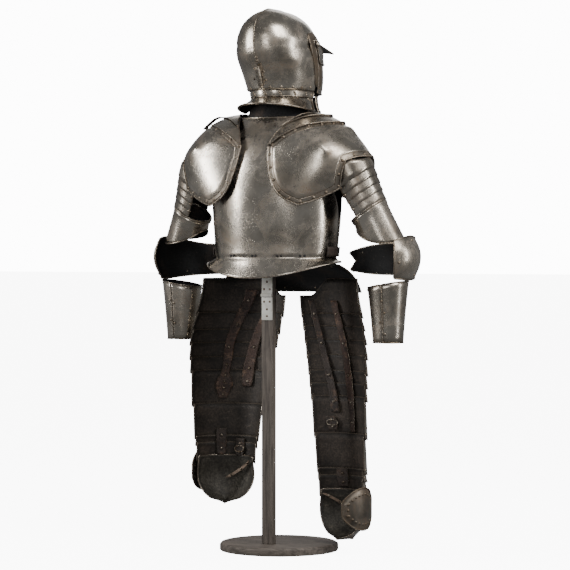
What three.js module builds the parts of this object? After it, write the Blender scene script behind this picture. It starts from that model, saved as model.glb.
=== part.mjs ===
// A suit of plate armour on a wooden display stand, in millimetres.
// The wearer faces -Y, their right side is -X, +Z is up, and the stand's underside is z = 0.
import * as THREE from "three";

// Driving dimensions
const PLATE = 1.8; // wall of the steel plates
const LEATHER = 2.4; // wall of the leathers
const STEP = 2.4; // from one lame's face to the next one's
const LAP = 6; // how far one lame reaches over the next
const BASE = { radius: 150, thickness: 20, bevel: 4 };
const POST = { width: 33, depth: 16, y: 63, top: 1034 };
const TEMPLE = { x: 107, y: -6, z: 1272 }; // pivots of the bevor and the visor
const TURNER = new THREE.Vector3(250, 0, 858); // turning joint of the left upper arm
const ELBOW = new THREE.Vector3(300, -25, 742);
const WRIST = new THREE.Vector3(295, -20, 527);
const SPLAY = 28; // degrees that each leg turns outwards
const LEGS = {
  left: { side: 1, top: 640, hem: 213, tip: 106, wing: { from: 76, to: 18, lift: 11 } },
  right: { side: -1, top: 640, hem: 140, tip: 32, wing: { from: 48, to: -28, lift: 12 } },
};

// Sections of the helmet: ellipses `half` wide each side and `reach` long each way from y = mid
const HELMET = [
  { z: 1149, half: 84, reach: 111, mid: -31 },
  { z: 1179, half: 92, reach: 117, mid: -26 },
  { z: 1208, half: 96, reach: 123, mid: -16 },
  { z: 1237, half: 99, reach: 130, mid: -3 },
  { z: 1267, half: 98, reach: 129, mid: 5 },
  { z: 1296, half: 90, reach: 122, mid: 11 },
  { z: 1326, half: 72, reach: 105, mid: 16 },
  { z: 1349, half: 42, reach: 74, mid: 19 },
  { z: 1361, half: 3, reach: 36, mid: 20 },
];

// Sections of the trunk: half width, depth behind and before the axis, and the angle,
// up from the side, at which the armhole cuts the plate
const TRUNK = [
  { z: 706, half: 184, back: 157, front: 112, armhole: -4 },
  { z: 728, half: 168, back: 139, front: 102, armhole: -4 },
  { z: 738, half: 164, back: 134, front: 98, armhole: -4 },
  { z: 796, half: 168, back: 140, front: 112, armhole: -4 },
  { z: 850, half: 172, back: 147, front: 122, armhole: -4 },
  { z: 905, half: 176, back: 150, front: 128, armhole: 8 },
  { z: 955, half: 177, back: 144, front: 126, armhole: 32 },
  { z: 1005, half: 170, back: 128, front: 114, armhole: 40 },
  { z: 1045, half: 148, back: 106, front: 98, armhole: 36 },
  { z: 1070, half: 124, back: 90, front: 86, armhole: 26 },
  { z: 1087, half: 106, back: 80, front: 78, armhole: 16 },
];

// Sections of the left thigh from the top lame (0) to the knee (1): the middle of the open
// back, the half width of the opening and the depth of the plates in front of it
const THIGH = [
  { part: 0, x: 117, y: -20, half: 113, depth: 70 },
  { part: 0.25, x: 142, y: -13, half: 117, depth: 67 },
  { part: 0.5, x: 152, y: -7, half: 104, depth: 68 },
  { part: 0.76, x: 157, y: -3, half: 89, depth: 72 },
  { part: 1, x: 161, y: -4, half: 76, depth: 73 },
];

// The left pauldron: each row runs from the rear edge over the shoulder to the front edge
const PAULDRON = [
  [
    [76, 66, 1085], [86, 48, 1095], [98, 27, 1100], [104, 4, 1101],
    [99, -24, 1101], [89, -48, 1096], [77, -70, 1087],
  ],
  [
    [58, 104, 1062], [88, 84, 1080], [122, 56, 1092], [154, 8, 1094],
    [128, -42, 1086], [94, -78, 1068], [66, -98, 1044],
  ],
  [
    [38, 138, 1014], [84, 122, 1050], [140, 92, 1073], [190, 8, 1078],
    [146, -74, 1064], [94, -110, 1034], [60, -124, 1000],
  ],
  [
    [51, 154, 946], [104, 142, 1008], [164, 112, 1046], [214, 8, 1060],
    [168, -94, 1034], [108, -128, 990], [66, -138, 945],
  ],
  [
    [75, 157, 893], [134, 146, 966], [188, 118, 1022], [230, 8, 1042],
    [190, -104, 1008], [134, -138, 952], [88, -142, 905],
  ],
  [
    [138, 137, 866], [178, 132, 938], [214, 108, 1000], [249, 8, 1018],
    [214, -98, 984], [176, -124, 930], [142, -126, 884],
  ],
  [
    [218, 92, 906], [226, 98, 946], [238, 82, 984], [270, 6, 992],
    [236, -74, 966], [222, -90, 936], [212, -86, 912],
  ],
];

const armour = new THREE.Group();
armour.name = "armour";

const STEEL = new THREE.MeshStandardMaterial({ color: 0x8f877c, roughness: 0.38, metalness: 1 });
const BLACKENED = new THREE.MeshStandardMaterial({ color: 0x1d1a18, roughness: 0.7, metalness: 0.6 });
const HIDE = new THREE.MeshStandardMaterial({ color: 0x3a241a, roughness: 0.85, metalness: 0 });
const WOOD = new THREE.MeshStandardMaterial({ color: 0x6d6256, roughness: 0.8, metalness: 0 });
const PAINT = new THREE.MeshStandardMaterial({ color: 0xd9d4c8, roughness: 0.6, metalness: 0 });

function add(name, geometry, material) {
  const mesh = new THREE.Mesh(geometry, material);
  mesh.name = name;
  armour.add(mesh);
  return mesh;
}

// A number that eases through the values of a list, at a place given in steps of the list.
function eased(values, place) {
  const last = values.length - 1;
  const from = Math.min(Math.max(Math.floor(place), 0), last - 1);
  const share = place - from;
  const before = values[Math.max(from - 1, 0)];
  const after = values[Math.min(from + 2, last)];
  const slopeIn = (values[from + 1] - before) / (from > 0 ? 2 : 1);
  const slopeOut = (after - values[from]) / (from + 2 <= last ? 2 : 1);
  const square = share * share;
  const cube = square * share;
  return (
    (2 * cube - 3 * square + 1) * values[from] +
    (cube - 2 * square + share) * slopeIn +
    (3 * square - 2 * cube) * values[from + 1] +
    (cube - square) * slopeOut
  );
}

// Every column of a section table, eased at a place from 0 (first row) to 1 (last row).
function section(table, place) {
  const row = {};
  for (const key of Object.keys(table[0])) {
    row[key] = eased(table.map((entry) => entry[key]), place * (table.length - 1));
  }
  return row;
}

// The place in a section table where a rising column reaches a value.
function placeOf(table, key, value) {
  let low = 0;
  let high = 1;
  for (let round = 0; round < 30; round += 1) {
    const middle = (low + high) / 2;
    if (section(table, middle)[key] < value) low = middle;
    else high = middle;
  }
  return low;
}

// A closed wall between the faces point(u, row, 0) and point(u, row, thickness), where u runs
// from 0 to 1 over `across` facets and row over the given rows; a ring joins its two ends.
function wall(point, { across, rows, thickness = PLATE, ring = false }) {
  const places = typeof rows === "number" ? Array.from({ length: rows + 1 }, (_, i) => i / rows) : rows;
  const columns = ring ? across : across + 1;
  const positions = [];
  for (const depth of [0, thickness]) {
    for (const row of places) {
      for (let i = 0; i < columns; i += 1) {
        positions.push(...point(i / across, row, depth).toArray());
      }
    }
  }
  const layer = places.length * columns;
  const at = (i, j, inner) => inner * layer + j * columns + (i % columns);
  const faces = [];
  const quad = (a, b, c, d) => faces.push(a, b, c, a, c, d);
  for (let i = 0; i < across; i += 1) {
    for (let j = 0; j + 1 < places.length; j += 1) {
      quad(at(i, j, 0), at(i + 1, j, 0), at(i + 1, j + 1, 0), at(i, j + 1, 0));
      quad(at(i, j, 1), at(i, j + 1, 1), at(i + 1, j + 1, 1), at(i + 1, j, 1));
    }
    const top = places.length - 1;
    quad(at(i, 0, 0), at(i, 0, 1), at(i + 1, 0, 1), at(i + 1, 0, 0));
    quad(at(i, top, 0), at(i + 1, top, 0), at(i + 1, top, 1), at(i, top, 1));
  }
  for (let j = 0; !ring && j + 1 < places.length; j += 1) {
    quad(at(0, j, 0), at(0, j + 1, 0), at(0, j + 1, 1), at(0, j, 1));
    quad(at(across, j, 0), at(across, j, 1), at(across, j + 1, 1), at(across, j + 1, 0));
  }
  return facingOut(positions, faces);
}

// A geometry from its corners and triangles, turned inside out if they face inwards.
function facingOut(positions, faces) {
  const corner = (i) => new THREE.Vector3().fromArray(positions, 3 * i);
  let volume = 0;
  for (let i = 0; i < faces.length; i += 3) {
    volume += corner(faces[i]).dot(corner(faces[i + 1]).cross(corner(faces[i + 2])));
  }
  const geometry = new THREE.BufferGeometry();
  geometry.setAttribute("position", new THREE.Float32BufferAttribute(positions, 3));
  geometry.setIndex(volume > 0 ? faces : faces.slice().reverse());
  return geometry;
}

// The same surface with its depth laid along its normal, on the side towards `core`.
function skin(surface, core) {
  const small = 1e-3;
  const normal = (u, v) => {
    const a = surface(Math.max(u - small, 0), v);
    const b = surface(Math.min(u + small, 1), v);
    const c = surface(u, Math.max(v - small, 0));
    const d = surface(u, Math.min(v + small, 1));
    return b.sub(a).cross(d.sub(c)).normalize();
  };
  const outwards = surface(0.5, 0.5).sub(core).dot(normal(0.5, 0.5)) > 0 ? 1 : -1;
  return (u, v, depth) => surface(u, v).addScaledVector(normal(u, v), -depth * outwards);
}

// A point of an ellipse about the body's axis; angle 0 is the wearer's left, 90 the back.
function onRing(half, reach, mid, z, angle) {
  const turn = THREE.MathUtils.degToRad(angle);
  return new THREE.Vector3(half * Math.cos(turn), mid + reach * Math.sin(turn), z);
}

const mix = THREE.MathUtils.lerp;

// ---- Helmet ----

function helmetPoint(place, angle, lift) {
  const row = section(HELMET, place);
  return onRing(row.half + lift, row.reach + lift, row.mid, row.z, angle);
}

// The skull, in two halves that meet on the comb line; each ends behind the pivot at the side
// and runs on over the brow above it.
const SKULL = { edge: 1, brow: -89, browFrom: 0.54, browTo: 0.63, across: 12, gap: 0.4 };
const SKULL_ROWS = [0.02, 0.16, 0.3, 0.42, 0.53, 0.56, 0.59, 0.64, 0.74, 0.86, 1];
for (const [name, side] of [["skull_left", 1], ["skull_right", -1]]) {
  const half = (u, row, depth) => {
    const place = Math.max(row, placeOf(HELMET, "z", 1158));
    const over = THREE.MathUtils.smoothstep(place, SKULL.browFrom, SKULL.browTo);
    const angle = mix(90, mix(SKULL.edge, SKULL.brow, over), u);
    const spot = helmetPoint(place, angle, -depth);
    if (place === 1) spot.z -= depth;
    spot.x = side * (SKULL.gap + Math.abs(spot.x));
    return spot;
  };
  add(name, wall(half, { across: SKULL.across, rows: SKULL_ROWS }), STEEL);
}

// The bevor covers the face up to the eyes and reaches back to the pivots.
const BEVOR = { lift: 3.4, bottom: 1152, top: 1240, rear: 4, ends: 44 };
function facePlate({ bottom, top, lift, rear, ends }) {
  return (u, v, depth) => {
    const z = mix(bottom, top, v);
    const upper = THREE.MathUtils.smoothstep(Math.abs(2 * u - 1), 0.55, 1) * ends;
    const angle = mix(180 + rear, 360 - rear, u);
    return helmetPoint(placeOf(HELMET, "z", z + upper * v), angle, lift - depth);
  };
}
add("bevor", wall(facePlate(BEVOR), { across: 14, rows: 4 }), STEEL);

// The visor laps over the bevor, and the peak stands out from its upper edge.
const VISOR = { lift: 6.2, bottom: 1226, top: 1243, rear: 7, ends: 42 };
add("visor", wall(facePlate(VISOR), { across: 14, rows: 2 }), STEEL);

const PEAK = { half: 78, tip: 190, corner: 40, root: 1288, drop: 20, arch: 9, clear: 4.5, wrap: 0.78 };
function peakPoint(u, v, depth) {
  const side = 2 * u - 1;
  const row = section(HELMET, placeOf(HELMET, "z", PEAK.root - 4));
  const spread = side * mix(row.half * PEAK.wrap, PEAK.half, Math.sqrt(v));
  const root = row.mid - (row.reach + PEAK.clear) * Math.sqrt(1 - (side * PEAK.wrap) ** 2);
  const tip = PEAK.corner * side ** 4 - PEAK.tip;
  const z = PEAK.root - PEAK.drop * v - PEAK.arch * side * side - depth;
  return new THREE.Vector3(spread, mix(root, tip, v), z);
}
add("peak", wall(peakPoint, { across: 10, rows: 3 }), STEEL);

// Neck lames: two behind, riveted to the skull, and a flared plate before, under the bevor.
// Columns run from the bottom edge to the top edge.
const NECK = [
  {
    name: "neck_lame_upper", from: -2, to: 182, slope: 0,
    z: [1141, 1156], half: [80, 81], reach: [107, 109], mid: [-30, -30],
  },
  {
    name: "neck_lame_lower", from: -4, to: 184, slope: 16,
    z: [1121, 1147], half: [99, 74.5], reach: [114, 97.5], mid: [5, -28],
  },
  {
    name: "neck_plate_front", from: 190, to: 350, slope: 0,
    z: [1098, 1146], half: [93, 78], reach: [114, 105], mid: [-24, -31],
  },
];
for (const lame of NECK) {
  const band = (u, v, depth) => {
    const angle = mix(lame.from, lame.to, u);
    const sunk = lame.slope * (1 - Math.sin(THREE.MathUtils.degToRad(angle))) * (1 - v);
    const curve = 1 - (1 - v) ** 2;
    const half = mix(lame.half[0], lame.half[1], curve) - depth;
    const reach = mix(lame.reach[0], lame.reach[1], curve) - depth;
    const mid = mix(lame.mid[0], lame.mid[1], curve);
    return onRing(half, reach, mid, mix(lame.z[0], lame.z[1], v) - sunk, angle);
  };
  add(lame.name, wall(band, { across: 12, rows: 3 }), STEEL);
}

// A tapered plume holder stands on the back of the skull.
const PLUME = { bottom: 1163, top: 1214, radius: [6, 9], wall: 1.5, clear: 0.6 };
{
  const profile = [
    [PLUME.radius[0] - PLUME.wall, 3],
    [PLUME.radius[1] - PLUME.wall, PLUME.top - PLUME.bottom],
    [PLUME.radius[1], PLUME.top - PLUME.bottom],
    [PLUME.radius[0], 0],
    [0, 0],
    [0, 3],
    [PLUME.radius[0] - PLUME.wall, 3],
  ].reverse().map(([x, y]) => new THREE.Vector2(x, y));
  const low = helmetPoint(placeOf(HELMET, "z", PLUME.bottom), 90, PLUME.clear);
  const high = helmetPoint(placeOf(HELMET, "z", PLUME.top), 90, PLUME.clear);
  const tube = add("plume_holder", new THREE.LatheGeometry(profile, 10), STEEL);
  tube.rotation.x = Math.PI / 2 - Math.atan2(high.y - low.y, high.z - low.z);
  tube.position.set(0, low.y + PLUME.radius[1] + 1, low.z);
}

// ---- Trunk ----

function trunkPoint(place, angle, depth, sink) {
  const row = section(TRUNK, place);
  const reach = (row.back + row.front) / 2;
  return onRing(row.half - depth, reach - depth, (row.back - row.front) / 2, row.z - sink, angle);
}

// The backplate: its flange dips at the middle of the back.
const BACK = { dip: 20, across: 12, rows: 10 };
add("backplate", wall((u, v, depth) => {
  const edge = section(TRUNK, v).armhole;
  const angle = mix(edge, 180 - edge, u);
  const low = Math.max(0, 1 - v / 0.2) ** 1.5;
  const sink = low * (BACK.dip * (2 * Math.sin(THREE.MathUtils.degToRad(angle)) ** 2 - 1));
  return trunkPoint(v, angle, depth, sink);
}, { across: BACK.across, rows: BACK.rows }), STEEL);

// The breastplate, with a low ridge down its middle.
const BREAST = { gap: 11, ridge: 14, across: 12, rows: 8, bottom: 0.08 };
add("breastplate", wall((u, v, depth) => {
  const place = mix(BREAST.bottom, 1, v);
  const edge = Math.max(section(TRUNK, place).armhole, -4) + BREAST.gap;
  const angle = mix(180 + edge, 360 - edge, u);
  const spot = trunkPoint(place, angle, depth, 0);
  spot.y -= BREAST.ridge * Math.exp(-((spot.x / 45) ** 2)) * Math.sin(Math.PI * Math.min(1, v + 0.25));
  return spot;
}, { across: BREAST.across, rows: BREAST.rows }), STEEL);

// The collar stands inside the neck of both plates and of the helmet.
const COLLAR = { bottom: 1076, top: 1134, half: [98, 70], back: [72, 58], front: [70, 66] };
add("collar", wall((u, v, depth) => {
  const curve = v ** 0.7;
  const back = mix(COLLAR.back[0], COLLAR.back[1], curve);
  const front = mix(COLLAR.front[0], COLLAR.front[1], curve);
  const half = mix(COLLAR.half[0], COLLAR.half[1], curve) - depth;
  const z = mix(COLLAR.bottom, COLLAR.top, v);
  return onRing(half, (back + front) / 2 - depth, (back - front) / 2, z, 360 * u);
}, { across: 16, rows: 3, ring: true }), BLACKENED);

// The fauld: a short skirt below the breastplate, which carries the thigh plates.
const FAULD = [
  { z: 722, half: 160, reach: 105 },
  { z: 706, half: 190, reach: 135 },
  { z: 680, half: 212, reach: 155 },
  { z: 650, half: 222, reach: 164 },
];
const FAULD_EDGE = 26; // degrees of each side left open
add("fauld", wall((u, v, depth) => {
  const row = section(FAULD, v);
  return onRing(row.half - depth, row.reach - depth, 8, row.z, mix(180 + FAULD_EDGE, 360 - FAULD_EDGE, u));
}, { across: 14, rows: 3 }), STEEL);

// Straps: one each side at the waist and one over each shoulder, from back to breast.
const SIDE_STRAP = { z: 752, height: 24, from: -24, to: 16, lift: 4.6 };
const SHOULDER_STRAP = 18; // width
for (const [hand, side] of [["left", 1], ["right", -1]]) {
  add(`side_strap_${hand}`, wall((u, v, depth) => {
    const angle = mix(SIDE_STRAP.from, SIDE_STRAP.to, u);
    const z = SIDE_STRAP.z + SIDE_STRAP.height * (v - 0.5);
    const spot = trunkPoint(placeOf(TRUNK, "z", z), angle, -SIDE_STRAP.lift + depth, 0);
    spot.x *= side;
    return spot;
  }, { across: 5, rows: 1, thickness: LEATHER }), HIDE);
  const over = new THREE.CatmullRomCurve3([
    new THREE.Vector3(99, 37, 1090.4),
    new THREE.Vector3(106, 0, 1093.5),
    new THREE.Vector3(99, -33, 1090.4),
  ]);
  add(`shoulder_strap_${hand}`, wall((u, v, depth) => {
    const spot = over.getPoint(u);
    const slope = over.getTangent(u);
    spot.x = side * (spot.x + SHOULDER_STRAP * (v - 0.5));
    return spot.add(new THREE.Vector3(0, slope.z * depth, -Math.abs(slope.y) * depth));
  }, { across: 6, rows: 1, thickness: LEATHER }), HIDE);
}

// ---- Arms ----

// A frame along a limb: around(radius, angle, distance) is a point about its axis, where
// angle 0 faces away from the body, 90 the front, 180 the body and 270 the back.
function limb(from, to, side) {
  const axis = to.clone().sub(from).normalize();
  const away = new THREE.Vector3(1, 0, 0).addScaledVector(axis, -axis.x).normalize();
  const ahead = axis.clone().cross(away).multiplyScalar(-1);
  if (ahead.y > 0) ahead.negate();
  return (radius, angle, distance) => {
    const turn = THREE.MathUtils.degToRad(angle);
    const spot = from.clone().addScaledVector(axis, distance);
    spot.addScaledVector(away, radius * Math.cos(turn)).addScaledVector(ahead, radius * Math.sin(turn));
    spot.x *= side;
    return spot;
  };
}

// A surface through rows of points, eased both ways.
function net(rows, side) {
  return (u, v) => {
    const coordinate = (axis) => {
      const across = rows.map((row) => eased(row.map((spot) => spot[axis]), u * (row.length - 1)));
      return eased(across, v * (rows.length - 1));
    };
    return new THREE.Vector3(side * coordinate(0), coordinate(1), coordinate(2));
  };
}

// The pauldron: two lames at the neck lie over the main plate's upper edge.
const SHOULDER = [
  { name: "pauldron_lame_1", rows: [0, 1], lift: 0, along: 2 },
  { name: "pauldron_lame_2", rows: [1, 2], lift: -3, along: 2 },
  { name: "pauldron_main", rows: [2, 6], lift: -6, along: 7 },
];
// The first lame reaches higher behind, under the pauldron.
const ARM_LAMES = { count: 5, first: -114, pitch: 20, radius: 62.6, open: 106, reach: 30 };
const SLANT = 18; // the arm's cross edges lie this much lower beside the body than outside
const UPPER_CANNON = { radius: [50, 52], long: 112, short: 24, cut: 0.5, rope: 3.5, from: -6 };

// The couter's plan about the elbow, from behind over the outside and the front to the crook;
// `round` is how far its upper and lower edges close in like a dome
const COUTER = [
  { angle: -58, radius: 78, top: 38, bottom: -56, round: 0.9 },
  { angle: -20, radius: 75, top: 47, bottom: -59, round: 1 },
  { angle: 20, radius: 76, top: 49, bottom: -59, round: 0.95 },
  { angle: 60, radius: 86, top: 42, bottom: -54, round: 0.6 },
  { angle: 100, radius: 100, top: 30, bottom: -48, round: 0.3 },
  { angle: 140, radius: 110, top: 27, bottom: -46, round: 0.25 },
  { angle: 176, radius: 119, top: 8, bottom: -36, round: 0.2 },
];
const COUTER_DOME = { above: 66, below: 80, notch: 0.055 };
const LOWER_CANNON = { top: 680, bottom: 527, radius: [53, 39], seam: 0.4, split: 95 };

function slanted(angle) {
  return (SLANT * (1 - Math.cos(THREE.MathUtils.degToRad(angle)))) / 2;
}

for (const [hand, side] of [["left", 1], ["right", -1]]) {
  const core = new THREE.Vector3(side * 150, 0, 940);
  for (const lame of SHOULDER) {
    const surface = net(PAULDRON, side);
    const last = PAULDRON.length - 1;
    const lap = lame.rows[0] > 0 ? -0.1 : 0;
    const band = skin((u, v) => surface(u, mix(lame.rows[0] + lap, lame.rows[1], v) / last), core);
    add(`${lame.name}_${hand}`, wall((u, v, depth) => band(u, v, depth - lame.lift), {
      across: 10,
      rows: lame.along,
    }), STEEL);
  }

  const upper = limb(TURNER, ELBOW, side);
  for (let k = 0; k < ARM_LAMES.count; k += 1) {
    const from = ARM_LAMES.first + k * ARM_LAMES.pitch;
    const radius = ARM_LAMES.radius - STEP * k;
    const reach = k === 0 ? ARM_LAMES.reach : 0;
    add(`arm_lame_${k + 1}_${hand}`, wall((u, v, depth) => {
      const angle = mix(-ARM_LAMES.open, ARM_LAMES.open, u);
      const higher = reach * Math.max(0, -Math.sin(THREE.MathUtils.degToRad(angle))) ** 2;
      const distance = mix(from - higher, from + ARM_LAMES.pitch + LAP, v);
      return upper(radius - depth, angle, distance + slanted(angle));
    }, { across: 10, rows: 1 }), STEEL);
  }

  // The upper cannon is a tube with a roped rim at the turner, cut short beside the body.
  add(`upper_cannon_${hand}`, wall((u, row, depth) => {
    const angle = 360 * u;
    const towards = Math.cos(THREE.MathUtils.degToRad(angle - 10));
    const length = mix(UPPER_CANNON.short, UPPER_CANNON.long, ((1 + towards) / 2) ** UPPER_CANNON.cut);
    const distance = row < 0 ? UPPER_CANNON.from + (1 + row) * 12 : 6 + row * (length - 6);
    const swell = row < 0 ? UPPER_CANNON.rope * Math.sin(Math.PI * -row) : 0;
    const radius = mix(UPPER_CANNON.radius[0], UPPER_CANNON.radius[1], Math.max(row, 0));
    return upper(radius + swell - depth, angle, distance + slanted(angle) * (1 - Math.max(row, 0)));
  }, { across: 14, rows: [-1, -0.5, 0, 0.6, 1], ring: true }), STEEL);

  // The couter: a cup outside the elbow that runs round the front into a two-lobed wing.
  const elbow = limb(ELBOW, ELBOW.clone().add(new THREE.Vector3(0, 0, -1)), side);
  add(`couter_${hand}`, wall((u, v, depth) => {
    const notch = COUTER_DOME.notch * (1 - Math.abs(2 * v - 1)) * Math.max(0, 5 * u - 4);
    const plan = section(COUTER, u - notch);
    const rise = mix(plan.bottom, plan.top, v);
    const limit = rise > 0 ? COUTER_DOME.above : COUTER_DOME.below;
    const dome = 1 - plan.round * (1 - Math.sqrt(1 - (rise / limit) ** 2));
    return elbow(plan.radius * dome - depth, plan.angle, -rise);
  }, { across: 12, rows: 4 }), STEEL);

  // The lower cannon: two half tubes that meet on a seam.
  const forearm = limb(new THREE.Vector3(WRIST.x, WRIST.y, LOWER_CANNON.top), WRIST, side);
  const length = LOWER_CANNON.top - LOWER_CANNON.bottom;
  for (const [shell, turn] of [["outer", 0], ["inner", 180]]) {
    add(`lower_cannon_${shell}_${hand}`, wall((u, v, depth) => {
      const angle = LOWER_CANNON.split + turn + mix(LOWER_CANNON.seam, 180 - LOWER_CANNON.seam, u) - 180;
      const slant = 9 * (1 - Math.cos(THREE.MathUtils.degToRad(angle))) * (1 - v);
      const radius = mix(LOWER_CANNON.radius[0], LOWER_CANNON.radius[1], v ** 0.8) - depth;
      return forearm(radius, angle, slant + v * length);
    }, { across: 8, rows: 3 }), STEEL);
  }
}

// ---- Legs ----

const LEG_EDGES = [24, 178]; // angles of the outer and the inner edge of the leg's plates

// A point about a leg: angle 180 is the edge beside the other leg, 90 the front, 0 the outside.
function legPoint(leg, place, z, angle, lift) {
  const row = section(THIGH, placeOf(THIGH, "part", place));
  const turn = THREE.MathUtils.degToRad(angle);
  const splay = THREE.MathUtils.degToRad(SPLAY);
  const out = (row.half + lift) * Math.cos(turn);
  const ahead = (row.depth + lift) * Math.sin(turn);
  const x = row.x + out * Math.cos(splay) + ahead * Math.sin(splay);
  const y = row.y + out * Math.sin(splay) - ahead * Math.cos(splay);
  return new THREE.Vector3(leg.side * x, y, z);
}

// How far the top edge of a thigh plate rises towards the outside, past the fauld.
const TOP_RISE = 44;
function topRise(angle) {
  return TOP_RISE * (1 - THREE.MathUtils.smoothstep(angle, 126, 150));
}

// A stack of lames in one wall: each laps over the one below by LAP. A stack that starts below
// the top is tucked inside the last lame of the stack above it.
const TUCK = -2.2;
function stack(leg, { from, to, count, across }) {
  const rows = [];
  for (let k = 0; k < count; k += 1) {
    const lift = k === 0 && from > 0 ? TUCK : 0;
    rows.push({ part: from + ((to - from) * k) / count, lift, first: k === 0 });
    rows.push({ part: from + ((to - from) * (k + 1)) / count, lift: STEP, last: k === count - 1 });
  }
  return wall((u, row, depth) => {
    const shift = depth > 0 && !row.first && !row.last ? LAP : 0;
    const angle = mix(...LEG_EDGES, u);
    const rise = row.part === 0 ? topRise(angle) : 0;
    const z = leg.top - row.part * (leg.top - leg.hem) + shift + rise;
    return legPoint(leg, row.part, z, angle, row.lift - depth);
  }, { across, rows });
}

const UPPER_LAMES = { from: 0, to: 0.56, count: 6, across: 9 };
const LOWER_LAMES = { from: 0.545, to: 1, count: 4, across: 8 };
const KNEE = [
  { drop: 0, half: 72, depth: 69 },
  { drop: 0.14, half: 73, depth: 70 },
  { drop: 0.36, half: 78, depth: 82 },
  { drop: 0.62, half: 73, depth: 80 },
  { drop: 0.86, half: 50, depth: 68 },
  { drop: 1, half: 5, depth: 52 },
];
const KNEE_WING = { rise: 84, height: 104 };
const THIGH_LEATHER = { angle: 125, width: 28, from: 0.04, to: 0.9, inset: -6 };
for (const [hand, leg] of Object.entries(LEGS)) {
  add(`tasset_upper_${hand}`, stack(leg, UPPER_LAMES), STEEL);
  add(`tasset_lower_${hand}`, stack(leg, LOWER_LAMES), STEEL);

  // The poleyn: a cup at the knee that closes to a rounded point below.
  const kneeTop = leg.hem + 14;
  add(`poleyn_${hand}`, wall((u, v, depth) => {
    const knee = section(KNEE, v);
    const base = section(THIGH, 1);
    const lift = knee.half - base.half - depth;
    const spot = legPoint(leg, 1, mix(kneeTop, leg.tip, knee.drop), mix(...LEG_EDGES, u), lift);
    const ahead = (knee.depth - base.depth - lift - depth) * Math.sin(Math.PI * u);
    const splay = THREE.MathUtils.degToRad(SPLAY);
    spot.x += leg.side * ahead * Math.sin(splay);
    spot.y -= ahead * Math.cos(splay);
    return spot;
  }, { across: 8, rows: 5 }), STEEL);

  // A domed, kidney-shaped wing stands off the outside of the poleyn.
  add(`poleyn_wing_${hand}`, wall((u, v, depth) => {
    const across = 2 * u - 1;
    const height = KNEE_WING.height * Math.sqrt(1.02 - 0.86 * across * across);
    const z = leg.tip + KNEE_WING.rise + height * (v - 0.5) * (1 - 0.12 * across);
    const dome = 4 * (1 - across * across) * (1 - (2 * v - 1) ** 2);
    return legPoint(leg, 1, z, mix(leg.wing.from, leg.wing.to, u), leg.wing.lift + dome - depth);
  }, { across: 6, rows: 3 }), STEEL);

  // A leather hangs inside each thigh; the lames are riveted to it.
  add(`thigh_leather_${hand}`, wall((u, v, depth) => {
    const part = mix(THIGH_LEATHER.from, THIGH_LEATHER.to, v);
    const row = section(THIGH, placeOf(THIGH, "part", part));
    const angle = THIGH_LEATHER.angle + ((u - 0.5) * THIGH_LEATHER.width * 57) / row.half;
    return legPoint(leg, part, leg.top - part * (leg.top - leg.hem), angle, THIGH_LEATHER.inset - depth);
  }, { across: 2, rows: 8, thickness: LEATHER }), HIDE);
}

// ---- Stand ----

{
  const { radius, thickness, bevel } = BASE;
  const profile = [
    [0, 0],
    [radius, 0],
    [radius, thickness - bevel],
    [radius - bevel, thickness],
    [0, thickness],
    [0, 0],
  ].map(([x, y]) => new THREE.Vector2(x, y));
  const disc = add("stand_base", new THREE.LatheGeometry(profile, 24), WOOD);
  disc.rotation.x = Math.PI / 2;
}
const FIT = 0.3; // gap between two pieces that touch
{
  const height = POST.top - BASE.thickness - FIT;
  const post = add("stand_post", new THREE.BoxGeometry(POST.width, POST.depth, height), WOOD);
  post.position.set(0, POST.y - POST.depth / 2, BASE.thickness + FIT + height / 2);
}

// The shoulder board closes the trunk's shape from inside, and the head block carries the helmet.
const BOARD = { half: 130, reach: 93, mid: 3, thickness: 17 };
{
  const outline = new THREE.Shape().absellipse(0, BOARD.mid, BOARD.half, BOARD.reach, 0, 2 * Math.PI);
  const settings = { depth: BOARD.thickness, bevelEnabled: false, curveSegments: 16 };
  const board = add("stand_board", new THREE.ExtrudeGeometry(outline, settings), WOOD);
  board.position.z = POST.top + FIT;
}
const BLOCK = { y: 16, neck: 16, radius: 56, from: 1240, widest: 1262, shoulder: 1300, top: 1340 };
{
  const foot = POST.top + BOARD.thickness + 2 * FIT;
  const profile = [[0, foot], [BLOCK.neck, foot], [BLOCK.neck, BLOCK.from], [BLOCK.radius, BLOCK.widest]];
  for (const turn of [0, 25, 50, 75]) {
    const angle = THREE.MathUtils.degToRad(turn);
    const rise = (BLOCK.top - BLOCK.shoulder) * Math.sin(angle);
    profile.push([BLOCK.radius * Math.cos(angle), BLOCK.shoulder + rise]);
  }
  profile.push([0, BLOCK.top], [0, foot]);
  const points = profile.map(([x, y]) => new THREE.Vector2(x, y));
  const block = add("stand_head", new THREE.LatheGeometry(points, 12), WOOD);
  block.rotation.x = Math.PI / 2;
  block.position.y = BLOCK.y;
}

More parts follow.
